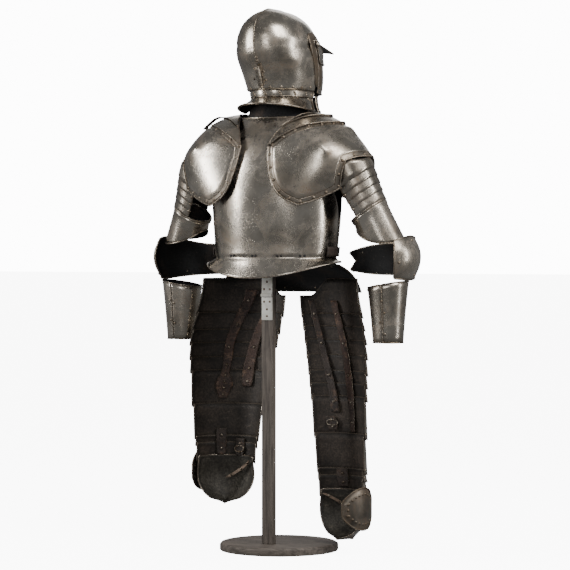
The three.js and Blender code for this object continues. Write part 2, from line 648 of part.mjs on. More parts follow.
// A painted strap hinge lies on the back of the post: the upper leaf carries the knuckle.
const HINGE = { z: 643, width: 30, leaf: 2, knuckle: 4.3, above: 62, below: 62 };
{
  const { knuckle, leaf, above, below, width } = HINGE;
  const upper = new THREE.Shape();
  upper.moveTo(0, above);
  upper.lineTo(0, 0);
  upper.absarc(knuckle, 0, knuckle, Math.PI, 2.6 * Math.PI, false);
  upper.lineTo(leaf, knuckle);
  upper.lineTo(leaf, above);
  const lower = new THREE.Shape();
  lower.moveTo(0, -below);
  lower.lineTo(leaf, -below);
  lower.lineTo(leaf, -knuckle - FIT);
  lower.lineTo(0, -knuckle - FIT);
  for (const [name, outline] of [["hinge_leaf_upper", upper], ["hinge_leaf_lower", lower]]) {
    const settings = { depth: width, bevelEnabled: false, curveSegments: 12 };
    const piece = add(name, new THREE.ExtrudeGeometry(outline, settings), PAINT);
    piece.rotation.set(Math.PI / 2, Math.PI / 2, 0);
    piece.position.set(-width / 2, POST.y + FIT, HINGE.z);
  }
}

// Domed studs at the temples, outside the visor's ends, mark the pivots.
for (const [hand, side] of [["left", 1], ["right", -1]]) {
  const profile = [[0, 0], [8, 0], [7, 2.5], [4, 4.5], [0, 5.2], [0, 0]];
  const points = profile.map(([x, y]) => new THREE.Vector2(x, y));
  const stud = add(`pivot_${hand}`, new THREE.LatheGeometry(points, 10), STEEL);
  stud.rotation.z = (-side * Math.PI) / 2;
  stud.position.set(side * TEMPLE.x, TEMPLE.y, TEMPLE.z);
}

export default armour;
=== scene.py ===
import math

import bmesh
import bpy
from mathutils import Matrix, Vector
from mathutils.bvhtree import BVHTree
from mathutils.kdtree import KDTree


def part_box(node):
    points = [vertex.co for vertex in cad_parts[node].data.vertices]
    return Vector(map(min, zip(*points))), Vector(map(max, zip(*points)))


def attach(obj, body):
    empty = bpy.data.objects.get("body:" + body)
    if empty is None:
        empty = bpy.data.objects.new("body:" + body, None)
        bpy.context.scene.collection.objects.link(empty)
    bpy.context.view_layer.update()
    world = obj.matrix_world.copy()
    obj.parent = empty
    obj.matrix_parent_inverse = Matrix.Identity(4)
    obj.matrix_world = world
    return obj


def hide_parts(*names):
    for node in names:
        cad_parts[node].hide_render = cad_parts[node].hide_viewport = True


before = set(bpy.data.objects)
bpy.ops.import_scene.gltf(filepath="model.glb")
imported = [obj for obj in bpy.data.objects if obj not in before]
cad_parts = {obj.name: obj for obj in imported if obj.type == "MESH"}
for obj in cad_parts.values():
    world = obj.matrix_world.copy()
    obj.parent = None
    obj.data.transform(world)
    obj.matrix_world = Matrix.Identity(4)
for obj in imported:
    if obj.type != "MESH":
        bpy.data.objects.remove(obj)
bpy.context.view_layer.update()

# ---- Camera, light and floor ----
# Seen from behind and a little to the wearer's right, level with the elbows, from 6 m. Soft
# lights stand round the armour, and the floor and the surroundings are white.
VIEW = {"azimuth": 208, "distance": 6.0, "height": 0.76, "width": 1.44}
turn = math.radians(VIEW["azimuth"])
camera = bpy.data.objects.new("camera", bpy.data.cameras.new("camera"))
camera.location = (
    math.sin(turn) * VIEW["distance"],
    -math.cos(turn) * VIEW["distance"],
    VIEW["height"],
)
camera.rotation_euler = (math.pi / 2, 0, turn)
camera.data.sensor_width = 36
camera.data.lens = 36 * VIEW["distance"] / VIEW["width"]
camera.data.shift_x = 0.0103
camera.data.shift_y = -0.064
bpy.context.scene.collection.objects.link(camera)
bpy.context.scene.camera = camera


def softbox(name, azimuth, elevation, distance, size, power):
    """An area light that faces the middle of the armour."""
    a, e = math.radians(azimuth), math.radians(elevation)
    back = Vector((math.sin(a) * math.cos(e), -math.cos(a) * math.cos(e), math.sin(e)))
    light = bpy.data.lights.new(name, "AREA")
    light.shape = "RECTANGLE"
    light.size, light.size_y = size
    light.energy = power
    lamp = bpy.data.objects.new(name, light)
    lamp.location = back * distance + Vector((0, 0, 0.85))
    lamp.rotation_euler = back.to_track_quat("Z", "Y").to_euler()
    bpy.context.scene.collection.objects.link(lamp)


softbox("key_light", 250, 40, 3.0, (1.3, 1.3), 78)
softbox("left_strip", 128, 14, 2.8, (0.5, 2.0), 54)
softbox("right_strip", 276, 8, 2.8, (0.35, 2.0), 30)
softbox("back_fill", 200, 12, 3.4, (0.8, 1.6), 24)
softbox("front_light", 20, 30, 3.4, (1.6, 1.6), 13)

# The surroundings are white to the eye and dimmer as a light.
world = bpy.data.worlds.new("studio")
world.use_nodes = True
ambience = world.node_tree.nodes["Background"]
ambience.inputs["Color"].default_value = (0.95, 0.97, 1.0, 1)
ambience.inputs["Strength"].default_value = 0.2
backdrop = world.node_tree.nodes.new("ShaderNodeBackground")
backdrop.inputs["Strength"].default_value = 16
seen = world.node_tree.nodes.new("ShaderNodeLightPath")
both = world.node_tree.nodes.new("ShaderNodeMixShader")
world.node_tree.links.new(seen.outputs["Is Camera Ray"], both.inputs[0])
world.node_tree.links.new(ambience.outputs[0], both.inputs[1])
world.node_tree.links.new(backdrop.outputs[0], both.inputs[2])
world.node_tree.links.new(both.outputs[0], world.node_tree.nodes["World Output"].inputs[0])
bpy.context.scene.world = world

floor_mesh = bpy.data.meshes.new("floor")
shape = bmesh.new()
bmesh.ops.create_grid(shape, x_segments=1, y_segments=1, size=60)
shape.to_mesh(floor_mesh)
shape.free()
pale = bpy.data.materials.new("pale_floor")
pale.use_nodes = True
pale.node_tree.nodes["Principled BSDF"].inputs["Base Color"].default_value = (0.9, 0.9, 0.9, 1)
pale.node_tree.nodes["Principled BSDF"].inputs["Roughness"].default_value = 0.9
pale.node_tree.nodes["Principled BSDF"].inputs["Emission Color"].default_value = (1, 1, 1, 1)
pale.node_tree.nodes["Principled BSDF"].inputs["Emission Strength"].default_value = 9
floor_mesh.materials.append(pale)
floor = bpy.data.objects.new("floor", floor_mesh)
floor.visible_glossy = False
floor.visible_diffuse = False
bpy.context.scene.collection.objects.link(floor)

# ---- Trunk ----
# Steel backplate, breastplate and fauld, and a collar in the black inside finish, which paints the
# shade of the gap it sits in; with turned rims and rivets.
# They hold each other by straps at the shoulders and sides. Each finish is a node material in
# object coordinates, so one metre is one unit everywhere.


class Field:
    """A shader socket that takes part in arithmetic."""

    def __init__(self, shader, socket):
        self.shader = shader
        self.socket = socket

    def math(self, operation, *values):
        inputs = dict(enumerate(values))
        return self.shader.node("ShaderNodeMath", "Value", {"operation": operation}, inputs)

    def __add__(self, other):
        return self.math("ADD", self, other)

    def __radd__(self, other):
        return self.math("ADD", other, self)

    def __sub__(self, other):
        return self.math("SUBTRACT", self, other)

    def __rsub__(self, other):
        return self.math("SUBTRACT", other, self)

    def __mul__(self, other):
        return self.math("MULTIPLY", self, other)

    def __rmul__(self, other):
        return self.math("MULTIPLY", other, self)

    def ramp(self, low, high, start=0.0, end=1.0):
        """The value eased from start at low to end at high."""
        settings = {"interpolation_type": "SMOOTHSTEP"}
        inputs = {"Value": self, "From Min": low, "From Max": high, "To Min": start, "To Max": end}
        return self.shader.node("ShaderNodeMapRange", "Result", settings, inputs)


class Shader:
    """A node material under construction."""

    def __init__(self, name):
        self.material = bpy.data.materials.new(name)
        self.material.use_nodes = True
        self.tree = self.material.node_tree
        self.surface = self.tree.nodes["Principled BSDF"]

    def node(self, kind, output, settings=None, inputs=None):
        """Any node: its settings are set first, then the values or links of its sockets."""
        made = self.tree.nodes.new(kind)
        for key, value in (settings or {}).items():
            setattr(made, key, value)
        for key, value in (inputs or {}).items():
            if isinstance(value, Field):
                self.tree.links.new(value.socket, made.inputs[key])
            else:
                made.inputs[key].default_value = value
        return Field(self, made.outputs[output])

    def place(self, stretch=(1, 1, 1)):
        """Object coordinates, stretched along each axis."""
        spot = self.node("ShaderNodeTexCoord", "Object")
        settings = {"operation": "MULTIPLY"}
        return self.node("ShaderNodeVectorMath", "Vector", settings, {0: spot, 1: stretch})

    def noise(self, scale, detail=4.0, roughness=0.55, stretch=(1, 1, 1), distortion=0.0):
        inputs = {
            "Vector": self.place(stretch),
            "Scale": scale,
            "Detail": detail,
            "Roughness": roughness,
            "Distortion": distortion,
        }
        return self.node("ShaderNodeTexNoise", "Fac", None, inputs)

    def cells(self, scale):
        inputs = {"Vector": self.place(), "Scale": scale}
        return self.node("ShaderNodeTexVoronoi", "Distance", None, inputs)

    def attribute(self, name):
        return self.node("ShaderNodeAttribute", "Fac", {"attribute_name": name})

    def blend(self, factor, first, second):
        """A colour between two colours."""
        colours = [c if isinstance(c, Field) else (*c, 1) for c in (first, second)]
        inputs = {0: factor, 6: colours[0], 7: colours[1]}
        return self.node("ShaderNodeMix", 2, {"data_type": "RGBA"}, inputs)

    def bump(self, height):
        """The surface's slope from a height in metres."""
        inputs = {"Height": height, "Distance": 1.0, "Strength": 1.0}
        return self.node("ShaderNodeBump", "Normal", None, inputs)

    def finish(self, **inputs):
        for key, value in inputs.items():
            socket = self.surface.inputs[key.replace("_", " ").title()]
            if isinstance(value, Field):
                self.tree.links.new(value.socket, socket)
            else:
                socket.default_value = value
        return self.material


# How wide the riveted band along a pauldron's rim is, and the groove that ends it, in metres.
BAND = 0.0125
GROOVE = 0.0007


def steel(name, light, dark, stain, shine, marks):
    """Old polished steel: cloudy tone, brown stains, pits, soft waves and a browned rim band."""
    shader = Shader(name)
    cloud = shader.noise(8, 6, 0.62)
    patch = shader.noise(15, 8, 0.74, distortion=0.7)
    speck = shader.noise(260, 3, 0.6)
    pits = shader.cells(230).ramp(0.12, 0.34, 1, 0) * shader.noise(19, 4).ramp(0.53, 0.68)
    brush = shader.noise(90, 2, 0.6, stretch=(6, 6, 0.5))
    rust = patch.ramp(0.53 - 0.1 * marks, 0.76) * (0.35 + 0.65 * speck.ramp(0.35, 0.65))
    band = shader.attribute("band")
    inside_band = band.ramp(BAND, BAND + 0.002, 1, 0)
    groove_out = band.ramp(BAND - GROOVE, BAND + GROOVE)
    groove = groove_out * band.ramp(BAND + 0.002 - GROOVE, BAND + 0.002 + GROOVE, 1, 0)
    rim = shader.attribute("edge").ramp(0.0, 0.01, 1, 0)
    tone = shader.blend(cloud.ramp(0.32, 0.68), dark, light)
    tone = shader.blend(rust * stain, tone, (0.15, 0.085, 0.042))
    tone = shader.blend(pits * 0.85, tone, (0.06, 0.044, 0.032))
    worn = rim * speck.ramp(0.42, 0.66) * 0.55 + inside_band * 0.3 + groove * 0.6
    tone = shader.blend(worn, tone, (0.11, 0.08, 0.052))
    rough = shine + rust * 0.3 + pits * 0.25 + (brush - 0.5) * 0.1 + inside_band * 0.06
    rough = rough + cloud.ramp(0.2, 0.8, 0.07, -0.04)
    relief = shader.noise(10, 2, 0.4) * 0.0014 - pits * 0.00025 - rust * 0.00012
    relief = relief - groove * 0.0006 + brush * 0.00003 + speck * 0.00007
    return shader.finish(
        base_color=tone,
        metallic=1.0 - 0.6 * rust.math("MAXIMUM", rust, pits),
        roughness=rough,
        normal=shader.bump(relief),
    )


STEEL = steel("steel", (0.61, 0.555, 0.475), (0.28, 0.248, 0.205), 0.8, 0.22, 1.05)


def blackened():
    """The plates' insides: scaly black with worn brown patches."""
    shader = Shader("blackened_steel")
    patch = shader.noise(14, 6, 0.65)
    grain = shader.noise(240, 3, 0.6)
    tone = shader.blend(patch.ramp(0.5, 0.75), (0.012, 0.011, 0.011), (0.05, 0.032, 0.022))
    tone = shader.blend(grain.ramp(0.62, 0.75) * 0.6, tone, (0.11, 0.09, 0.075))
    return shader.finish(
        base_color=tone,
        metallic=0.35,
        roughness=0.5 + grain * 0.25,
        normal=shader.bump(grain * 0.0002 + patch * 0.0012),
    )


BLACKENED = blackened()


OUTSIDE, INSIDE, RIM, HEAD = range(4)
AWAY = 0.05  # a distance past which the rim no longer counts
MERGE = 2e-5
THICKEST = 0.0026  # the shortest side of a face on a wall's rim is under this


def axis(start, end):
    """The nearest point to a spot on the line through two points."""
    origin, along = Vector(start), (Vector(end) - Vector(start)).normalized()
    return lambda spot: origin + along * (spot - origin).dot(along)


UPRIGHT = axis((0, 0, 0), (0, 0, 1))


def eased(values, place):
    """A number that eases through a list of values, at a place counted in its steps."""
    last = len(values) - 1
    start = min(max(math.floor(place), 0), last - 1)
    share = place - start
    before, after = values[max(start - 1, 0)], values[min(start + 2, last)]
    one, other = values[start], values[start + 1]
    slope = (other - before) / (2 if start > 0 else 1)
    slope_on = (after - one) / (2 if start + 2 <= last else 1)
    square, cube = share**2, share**3
    return (
        (2 * cube - 3 * square + 1) * one
        + (cube - 2 * square + share) * slope
        + (3 * square - 2 * cube) * other
        + (cube - square) * slope_on
    )


def section(table, key, value):
    """The row of a table at which its first column has a value, as a list of numbers."""
    low, high = 0.0, len(table) - 1.0
    rising = table[-1][key] > table[0][key]
    column = [row[key] for row in table]
    for _ in range(24):
        middle = (low + high) / 2
        if (eased(column, middle) < value) == rising:
            low = middle
        else:
            high = middle
    return [eased([row[k] for row in table], low) for k in range(len(table[0]))]


def merged(node):
    """A copy of a CAD node with its loose triangles joined up."""
    shape = bmesh.new()
    shape.from_mesh(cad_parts[node].data)
    bmesh.ops.remove_doubles(shape, verts=shape.verts, dist=MERGE)
    return shape


def four_sided(node):
    """A copy of a CAD node with its triangles paired again into four-sided faces."""
    shape = merged(node)
    bmesh.ops.join_triangles(
        shape,
        faces=shape.faces,
        angle_face_threshold=math.radians(40),
        angle_shape_threshold=math.pi,
        topology_influence=1.6,
    )
    return shape


def regained(node, core):
    """A CAD wall with four-sided faces, told apart as outside, inside and rim."""
    shape = four_sided(node)
    shape.normal_update()
    for face in shape.faces:
        spot = face.calc_center_median()
        if min(edge.calc_length() for edge in face.edges) < THICKEST:
            face.material_index = RIM
        elif (spot - core(spot)).dot(face.normal) < 0:
            face.material_index = INSIDE
    return shape


def wall(point, across, rows, thickness):
    """A wall between point(u, v, 0) and point(u, v, thickness), with its faces told apart."""
    shape = bmesh.new()
    columns = across + 1
    sheets = []
    for depth in (0, thickness):
        spots = [(i / across, j / rows) for j in range(rows + 1) for i in range(columns)]
        sheets.append([shape.verts.new(point(u, v, depth)) for u, v in spots])

    def face(kind, *corners):
        made = shape.faces.new([sheets[k][j * columns + i] for i, j, k in corners])
        made.material_index = kind

    for i in range(across):
        for j in range(rows):
            face(OUTSIDE, (i, j, 0), (i + 1, j, 0), (i + 1, j + 1, 0), (i, j + 1, 0))
            face(INSIDE, (i, j, 1), (i, j + 1, 1), (i + 1, j + 1, 1), (i + 1, j, 1))
        face(RIM, (i, 0, 0), (i, 0, 1), (i + 1, 0, 1), (i + 1, 0, 0))
        face(RIM, (i, rows, 0), (i + 1, rows, 0), (i + 1, rows, 1), (i, rows, 1))
    for j in range(rows):
        face(RIM, (0, j, 0), (0, j + 1, 0), (0, j + 1, 1), (0, j, 1))
        face(RIM, (across, j, 0), (across, j, 1), (across, j + 1, 1), (across, j + 1, 0))
    bmesh.ops.recalc_face_normals(shape, faces=shape.faces)
    return shape


def placed(name, shape, finishes):
    """A finished mesh object of a shape."""
    mesh = bpy.data.meshes.new(name)
    shape.to_mesh(mesh)
    shape.free()
    for finish in finishes:
        mesh.materials.append(finish)
    mesh.shade_smooth()
    made = bpy.data.objects.new(name, mesh)
    bpy.context.scene.collection.objects.link(made)
    return made


def smoothed(shape, detail):
    """The shape subdivided, with the edges that turn over 35 degrees kept."""
    crease = shape.edges.layers.float.new("crease_edge")
    for edge in shape.edges:
        if edge.is_manifold and edge.calc_face_angle() > math.radians(35):
            edge[crease] = 1
    coarse = placed("coarse", shape, [])
    coarse.modifiers.new("smooth", "SUBSURF").levels = detail
    graph = bpy.context.evaluated_depsgraph_get()
    fine = bpy.data.meshes.new_from_object(coarse.evaluated_get(graph))
    bpy.data.objects.remove(coarse)
    made = bmesh.new()
    made.from_mesh(fine)
    return made


def chained(edges):
    """The loops of corners that edges run through."""
    links = {}
    for edge in edges:
        for one, other in (edge.verts, reversed(edge.verts)):
            links.setdefault(one, []).append(other)
    loops = []
    while links:
        start = next(iter(links))
        path, spot = [start], links[start][0]
        while spot is not None and spot is not start and spot in links:
            ahead = [v for v in links[spot] if v is not path[-1]]
            path.append(spot)
            spot = ahead[0] if ahead else None
        for corner in path:
            links.pop(corner, None)
        loops.append([corner.co.copy() for corner in path])
    return [loop for loop in loops if len(loop) > 8]


def along(path, spacing, closed):
    """Evenly spaced (point, direction) pairs on a path."""
    spots = path + path[:1] if closed else path
    total = sum((b - a).length for a, b in zip(spots, spots[1:]))
    count = max(2, round(total / spacing))
    step = total / count
    made, gone, wanted = [], 0.0, 0.0
    for a, b in zip(spots, spots[1:]):
        length = (b - a).length
        while length > 0 and wanted <= gone + length + 1e-9:
            made.append((a.lerp(b, (wanted - gone) / length), (b - a).normalized()))
            wanted += step
        gone += length
    return made[:count] if closed else made


def tube(shape, path, radius, closed=False, sides=8, kind=OUTSIDE, profile=None):
    """A round bar along a path; profile(share, angle) scales its radius."""
    count = len(path)
    normal = None
    rings = []
    for i, spot in enumerate(path):
        before = path[i - 1] if closed else path[max(i - 1, 0)]
        after = path[(i + 1) % count] if closed else path[min(i + 1, count - 1)]
        ahead = (after - before).normalized()
        if normal is None:
            normal = ahead.orthogonal().normalized()
        normal = (normal - ahead * normal.dot(ahead)).normalized()
        side = ahead.cross(normal)
        ring = []
        for k in range(sides):
            angle = 2 * math.pi * k / sides
            size = radius * (profile(i / (count - 1), angle) if profile else 1)
            out = normal * math.cos(angle) + side * math.sin(angle)
            ring.append(shape.verts.new(spot + out * size))
        rings.append(ring)
    pairs = list(zip(rings, rings[1:]))
    if closed:
        offset = min(range(sides), key=lambda k: (rings[0][k].co - rings[-1][0].co).length)
        pairs.append((rings[-1], rings[0][offset:] + rings[0][:offset]))
    for one, other in pairs:
        for k in range(sides):
            n = (k + 1) % sides
            shape.faces.new((one[k], one[n], other[n], other[k])).material_index = kind
    if not closed:
        shape.faces.new(rings[0][::-1]).material_index = kind
        shape.faces.new(rings[-1]).material_index = kind


def dome(shape, spot, normal, radius, rise=0.5, kind=HEAD):
    """A rivet's head on a surface."""
    matrix = Matrix.Translation(spot) @ normal.to_track_quat("Z", "Y").to_matrix().to_4x4()
    matrix = matrix @ Matrix.Diagonal((1, 1, rise, 1))
    made = bmesh.ops.create_uvsphere(
        shape, u_segments=10, v_segments=6, radius=radius, matrix=matrix
    )
    for corner in made["verts"]:
        for face in corner.link_faces:
            face.material_index = kind


class Plate:
    """A plate with its rim known, so that beads and rivets can follow it."""

    def __init__(self, name, shape, detail=2, finish=None, banded=False):
        self.name = name
        self.finish = finish or STEEL
        self.shape = smoothed(shape, detail)
        self.shape.normal_update()
        corners = [v.co.copy() for v in self.shape.verts]
        outside = [f for f in self.shape.faces if f.material_index == OUTSIDE]
        faces = [[v.index for v in f.verts] for f in outside]
        self.tree = BVHTree.FromPolygons(corners, faces)

        def on_rim(edge):
            return {face.material_index for face in edge.link_faces} == {OUTSIDE, RIM}

        self.loops = chained([edge for edge in self.shape.edges if on_rim(edge)])
        rim = [spot for loop in self.loops for spot in loop]
        near = KDTree(len(rim))
        for i, spot in enumerate(rim):
            near.insert(spot, i)
        near.balance()
        edge = self.shape.verts.layers.float.new("edge")
        band = self.shape.verts.layers.float.new("band")
        for corner in self.shape.verts:
            corner[edge] = min(near.find(corner.co)[2], AWAY)
            corner[band] = corner[edge] if banded else AWAY
        self.edge = edge
        self.near = near

    def raised(self, low, high, rise):
        """The outside stands proud by rise beyond a distance from the rim."""
        self.shape.normal_update()
        moves = {}
        for corner in self.shape.verts:
            if any(f.material_index == OUTSIDE for f in corner.link_faces):
                share = min(max((corner[self.edge] - low) / (high - low), 0), 1)
                moves[corner] = corner.normal * rise * share * share * (3 - 2 * share)
        for corner, move in moves.items():
            corner.co += move

    def bead(self, radius, where=lambda spot: True, kind=OUTSIDE):
        """A turned rim along the places of the edge that qualify."""
        for loop in self.loops:
            spots = [s for s, _ in along(loop, 0.006, True)]
            if all(where(s) for s in spots):
                tube(self.shape, spots, radius, True, 6, kind)
                continue
            first = next((i for i, s in enumerate(spots) if not where(s)), 0)
            run = []
            for spot in spots[first:] + spots[:first] + [spots[first]]:
                if where(spot):
                    run.append(spot)
                    continue
                if len(run) > 2:
                    tube(self.shape, run, radius, False, 6, kind)
                run = []

    def inset(self, distance, spacing, where=lambda spot: True):
        """(point, normal) pairs on the outside, at a distance in from the rim."""
        made = []
        for loop in self.loops:
            for spot, ahead in along(loop, spacing, True):
                _, normal, _, _ = self.tree.find_nearest(spot)
                inward = normal.cross(ahead).normalized() * distance
                tries = [self.tree.find_nearest(spot + sign * inward) for sign in (1, -1)]
                hit = min(tries, key=lambda t: abs(self.near.find(t[0])[2] - distance))
                if where(hit[0]):
                    made.append((hit[0], hit[1]))
        return made

    def rivets(self, spots, radius=0.004, rise=0.55, kind=HEAD):
        """Round heads at (point, normal) pairs."""
        for spot, normal in spots:
            dome(self.shape, spot, normal, radius, rise, kind)

    def pinched(self, height, share, spread):
        """The waist drawn in to a crisp line above a flared flange."""
        for corner in self.shape.verts:
            pull = share * math.exp(-(((corner.co.z - height) / spread) ** 2))
            corner.co.x *= 1 - pull
            corner.co.y *= 1 - pull

    def done(self, body, *nodes, inner=None):
        """The plate's object, on its body and in place of its CAD nodes."""
        for face in self.shape.faces:
            if face.material_index == RIM:
                face.material_index = OUTSIDE
        made = placed(self.name, self.shape, [self.finish, inner or BLACKENED, STEEL, RIVET])
        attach(made, body)
        if nodes:
            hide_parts(*nodes)
        return made


PITTED = steel("pitted_steel", (0.22, 0.198, 0.165), (0.09, 0.078, 0.064), 0.9, 0.38, 1.8)
RIVET = steel("rivet_steel", (0.5, 0.45, 0.38), (0.2, 0.16, 0.12), 0.8, 0.34, 1.4)

# Heights in metres; the holes along the waist come in pairs at angles from the left side.
NECK, WAIST, FLANGE = 1.06, 0.737, 0.73
HOLES = {"height": 0.742, "angles": (62, 90, 118, 140), "gap": 2}

plate = Plate("backplate_shell", regained("backplate", UPRIGHT), 3)
plate.pinched(WAIST, 0.02, 0.005)
plate.bead(0.0022, lambda spot: spot.z > NECK)
plate.bead(0.0016, lambda spot: spot.z < FLANGE)
holes = []
for angle in HOLES["angles"]:
    for gap in (-HOLES["gap"], HOLES["gap"]):
        a = math.radians(angle + gap)
        outward = Vector((math.cos(a), math.sin(a), 0))
        holes.append(plate.tree.ray_cast(Vector((0, 0, HOLES["height"])), outward)[:2])
plate.rivets(holes, 0.0034, 0.4, INSIDE)
plate.done("armour", "backplate")

plate = Plate("breastplate_shell", regained("breastplate", UPRIGHT), 2)
plate.pinched(WAIST, 0.02, 0.005)
plate.bead(0.0022, lambda spot: spot.z > NECK)
plate.done("armour", "breastplate")

# The collar's outside takes the black inside finish as painted shade, for the gap between helmet
# and backplate where it sits.
plate = Plate("collar_shell", regained("collar", UPRIGHT), 2, BLACKENED)
plate.bead(0.002)
plate.done("armour", "collar")

plate = Plate("fauld_shell", regained("fauld", UPRIGHT), 2)
plate.bead(0.0018)
plate.rivets(plate.inset(0.01, 0.09))
plate.done("armour", "fauld")

# ---- Helmet ----
# Two steel skull halves meet on a low comb, with a plume holder and two neck lames riveted on
# behind. The bevor and the visor with its peak turn on studs at the temples.

# Sections of the skull: height, half width, reach each way and the middle's place, in mm.
SKULL = [
    (1149, 84, 111, -31),
    (1179, 92, 117, -26),
    (1208, 96, 123, -16),
    (1237, 99, 130, -3),
    (1267, 98, 129, 5),
    (1296, 90, 122, 11),
    (1326, 72, 105, 16),
    (1349, 42, 74, 19),
    (1361, 3, 36, 20),
]
FOOT, BROW, CROWN = 1157, 1257, 1361
# Rivets of each half: height in mm and angle round the skull.
SKULL_RIVETS = {
    "left": [(1180, 76), (1180, 104), (1172, 92), (1158, 60), (1158, 40), (1158, 22)],
    "right": [
        (1230, 92), (1222, 92), (1196, 96), (1160, 78), (1160, 60), (1160, 42), (1160, 28),
        (1162, 12), (1176, 97),
    ],
}


def skull_spot(z, angle, lift=0.0):
    """A point of the skull in metres; angle 90 is the back and 0 the side."""
    _, half, reach, middle = section(SKULL, 0, z)
    a = math.radians(angle)
    x, y = (half + lift) * math.cos(a), middle + (reach + lift) * math.sin(a)
    return Vector((x, y, z)) / 1000


def skull_half(side):
    """The half's wall: columns run from the comb to the edge beside the face."""

    def point(u, v, depth):
        z = FOOT + (CROWN - FOOT) * math.sin(math.pi / 2 * v)
        brow = min(max((z - BROW) / 26, 0), 1)
        edge = 1 - 90 * brow * brow * (3 - 2 * brow)
        spot = skull_spot(min(z, CROWN - 0.5), 90 - (90 - edge) * u, -1000 * depth)
        keel = 0.0016 * math.exp(-((spot.x / 0.005) ** 2)) * (depth == 0)
        spot.x = side * (max(spot.x, 0) * (1 - v**40) + 0.0003)
        spot += Vector((0, keel, keel * v))
        if v == 1:
            spot.z -= depth
        return spot

    return wall(point, 46, 34, 0.0018)


for hand, side in (("left", 1), ("right", -1)):
    plate = Plate(f"skull_{hand}_shell", skull_half(side), 1)
    if side > 0:
        comb = [skull_spot(z, 90, 1.0) for z in range(FOOT + 3, CROWN, 4)]
        comb += [Vector((0, 0.001 * y, 1.3606)) for y in range(50, -16, -6)]
        comb += [skull_spot(z, -90, 1.0) for z in range(CROWN - 3, 1292, -4)]
        tube(plate.shape, [Vector((0, s.y, s.z + 0.0006)) for s in comb], 0.0014)
    heads = []
    for z, angle in SKULL_RIVETS[hand]:
        spot = skull_spot(z, angle, 10)
        spot.x = side * abs(spot.x)
        heads.append(plate.tree.find_nearest(spot)[:2])
    plate.rivets(heads, 0.0036, 0.6)
    plate.done("armour", f"skull_{hand}")


def carried(node, width, finish, segments=2):
    """A small CAD piece with its sharp edges rounded."""
    shape = merged(node)
    bmesh.ops.dissolve_limit(
        shape, angle_limit=math.radians(1), verts=shape.verts, edges=shape.edges
    )
    sharp = [e for e in shape.edges if e.is_manifold and e.calc_face_angle() > 0.6]
    bmesh.ops.bevel(
        shape,
        geom=sharp,
        offset=width,
        segments=segments,
        affect="EDGES",
        profile=0.5,
        material=-1,
    )
    made = placed(node + "_finished", shape, [finish])
    made.data.set_sharp_from_angle(angle=math.radians(32))
    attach(made, "armour")
    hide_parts(node)


for node in ("plume_holder", "pivot_left", "pivot_right"):
    carried(node, 0.0005, STEEL)

FACE_STUD = (-0.06, -0.132, 1.169)
for name, body, rim in (
    ("neck_lame_upper", "armour", 0.0012),
    ("neck_lame_lower", "armour", 0.0026),
    ("neck_plate_front", "armour", 0.0022),
    ("bevor", "bevor", 0.0018),
    ("visor", "visor", 0.0016),
    ("peak", "visor", 0.002),
):
    plate = Plate(name + "_shell", regained(name, UPRIGHT))
    plate.bead(rim)
    if name.startswith("neck"):
        plate.rivets(plate.inset(0.01, 0.04), 0.0034)
    if name == "bevor":
        plate.rivets(plate.inset(0.011, 0.05), 0.003)
        plate.rivets([plate.tree.find_nearest(Vector(FACE_STUD))[:2]], 0.0045, 1.1)
    plate.done(body, name)

# A strip closes the skull's front edge on each side and widens to a lug at the temple; both lie
# under the visor and the bevor.
for hand, side in (("left", 1), ("right", -1)):

    def lug(u, v, depth):
        z = 1164 + 140 * v
        wide = min(max((z - 1232) / 20, 0), 1)
        wide = wide * wide * (3 - 2 * wide)
        half = (9 + 6 * wide) * (1 - abs(2 * v - 1) ** 10) ** 0.5 + 1
        spot = skull_spot(z, -6 - 4 * wide + (2 * u - 1) * half, 2.8 - 1000 * depth)
        spot.x *= side
        return spot

    shape = smoothed(wall(lug, 8, 24, 0.002), 1)
    boss = lug(0.5, 0.84, 0)
    dome(shape, boss, Vector((side, -0.1, 0.1)), 0.0065, 0.25, RIM)
    made = placed(f"temple_lug_{hand}", shape, [PITTED, PITTED, STEEL])
    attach(made, "armour")

# ---- Arms ----
# Steel pauldrons of three plates with a riveted rim, five lames on leathers, an upper cannon
# with a roped turner, the couter with its wing and the lower cannon in two halves.


def centre(point):
    return lambda spot: Vector(point)


def roped(share, angle):
    """The turner rim's rope: a thin coil of ridges."""
    return 1 + 0.16 * math.cos(2 * angle + 2 * math.pi * 60 * share)


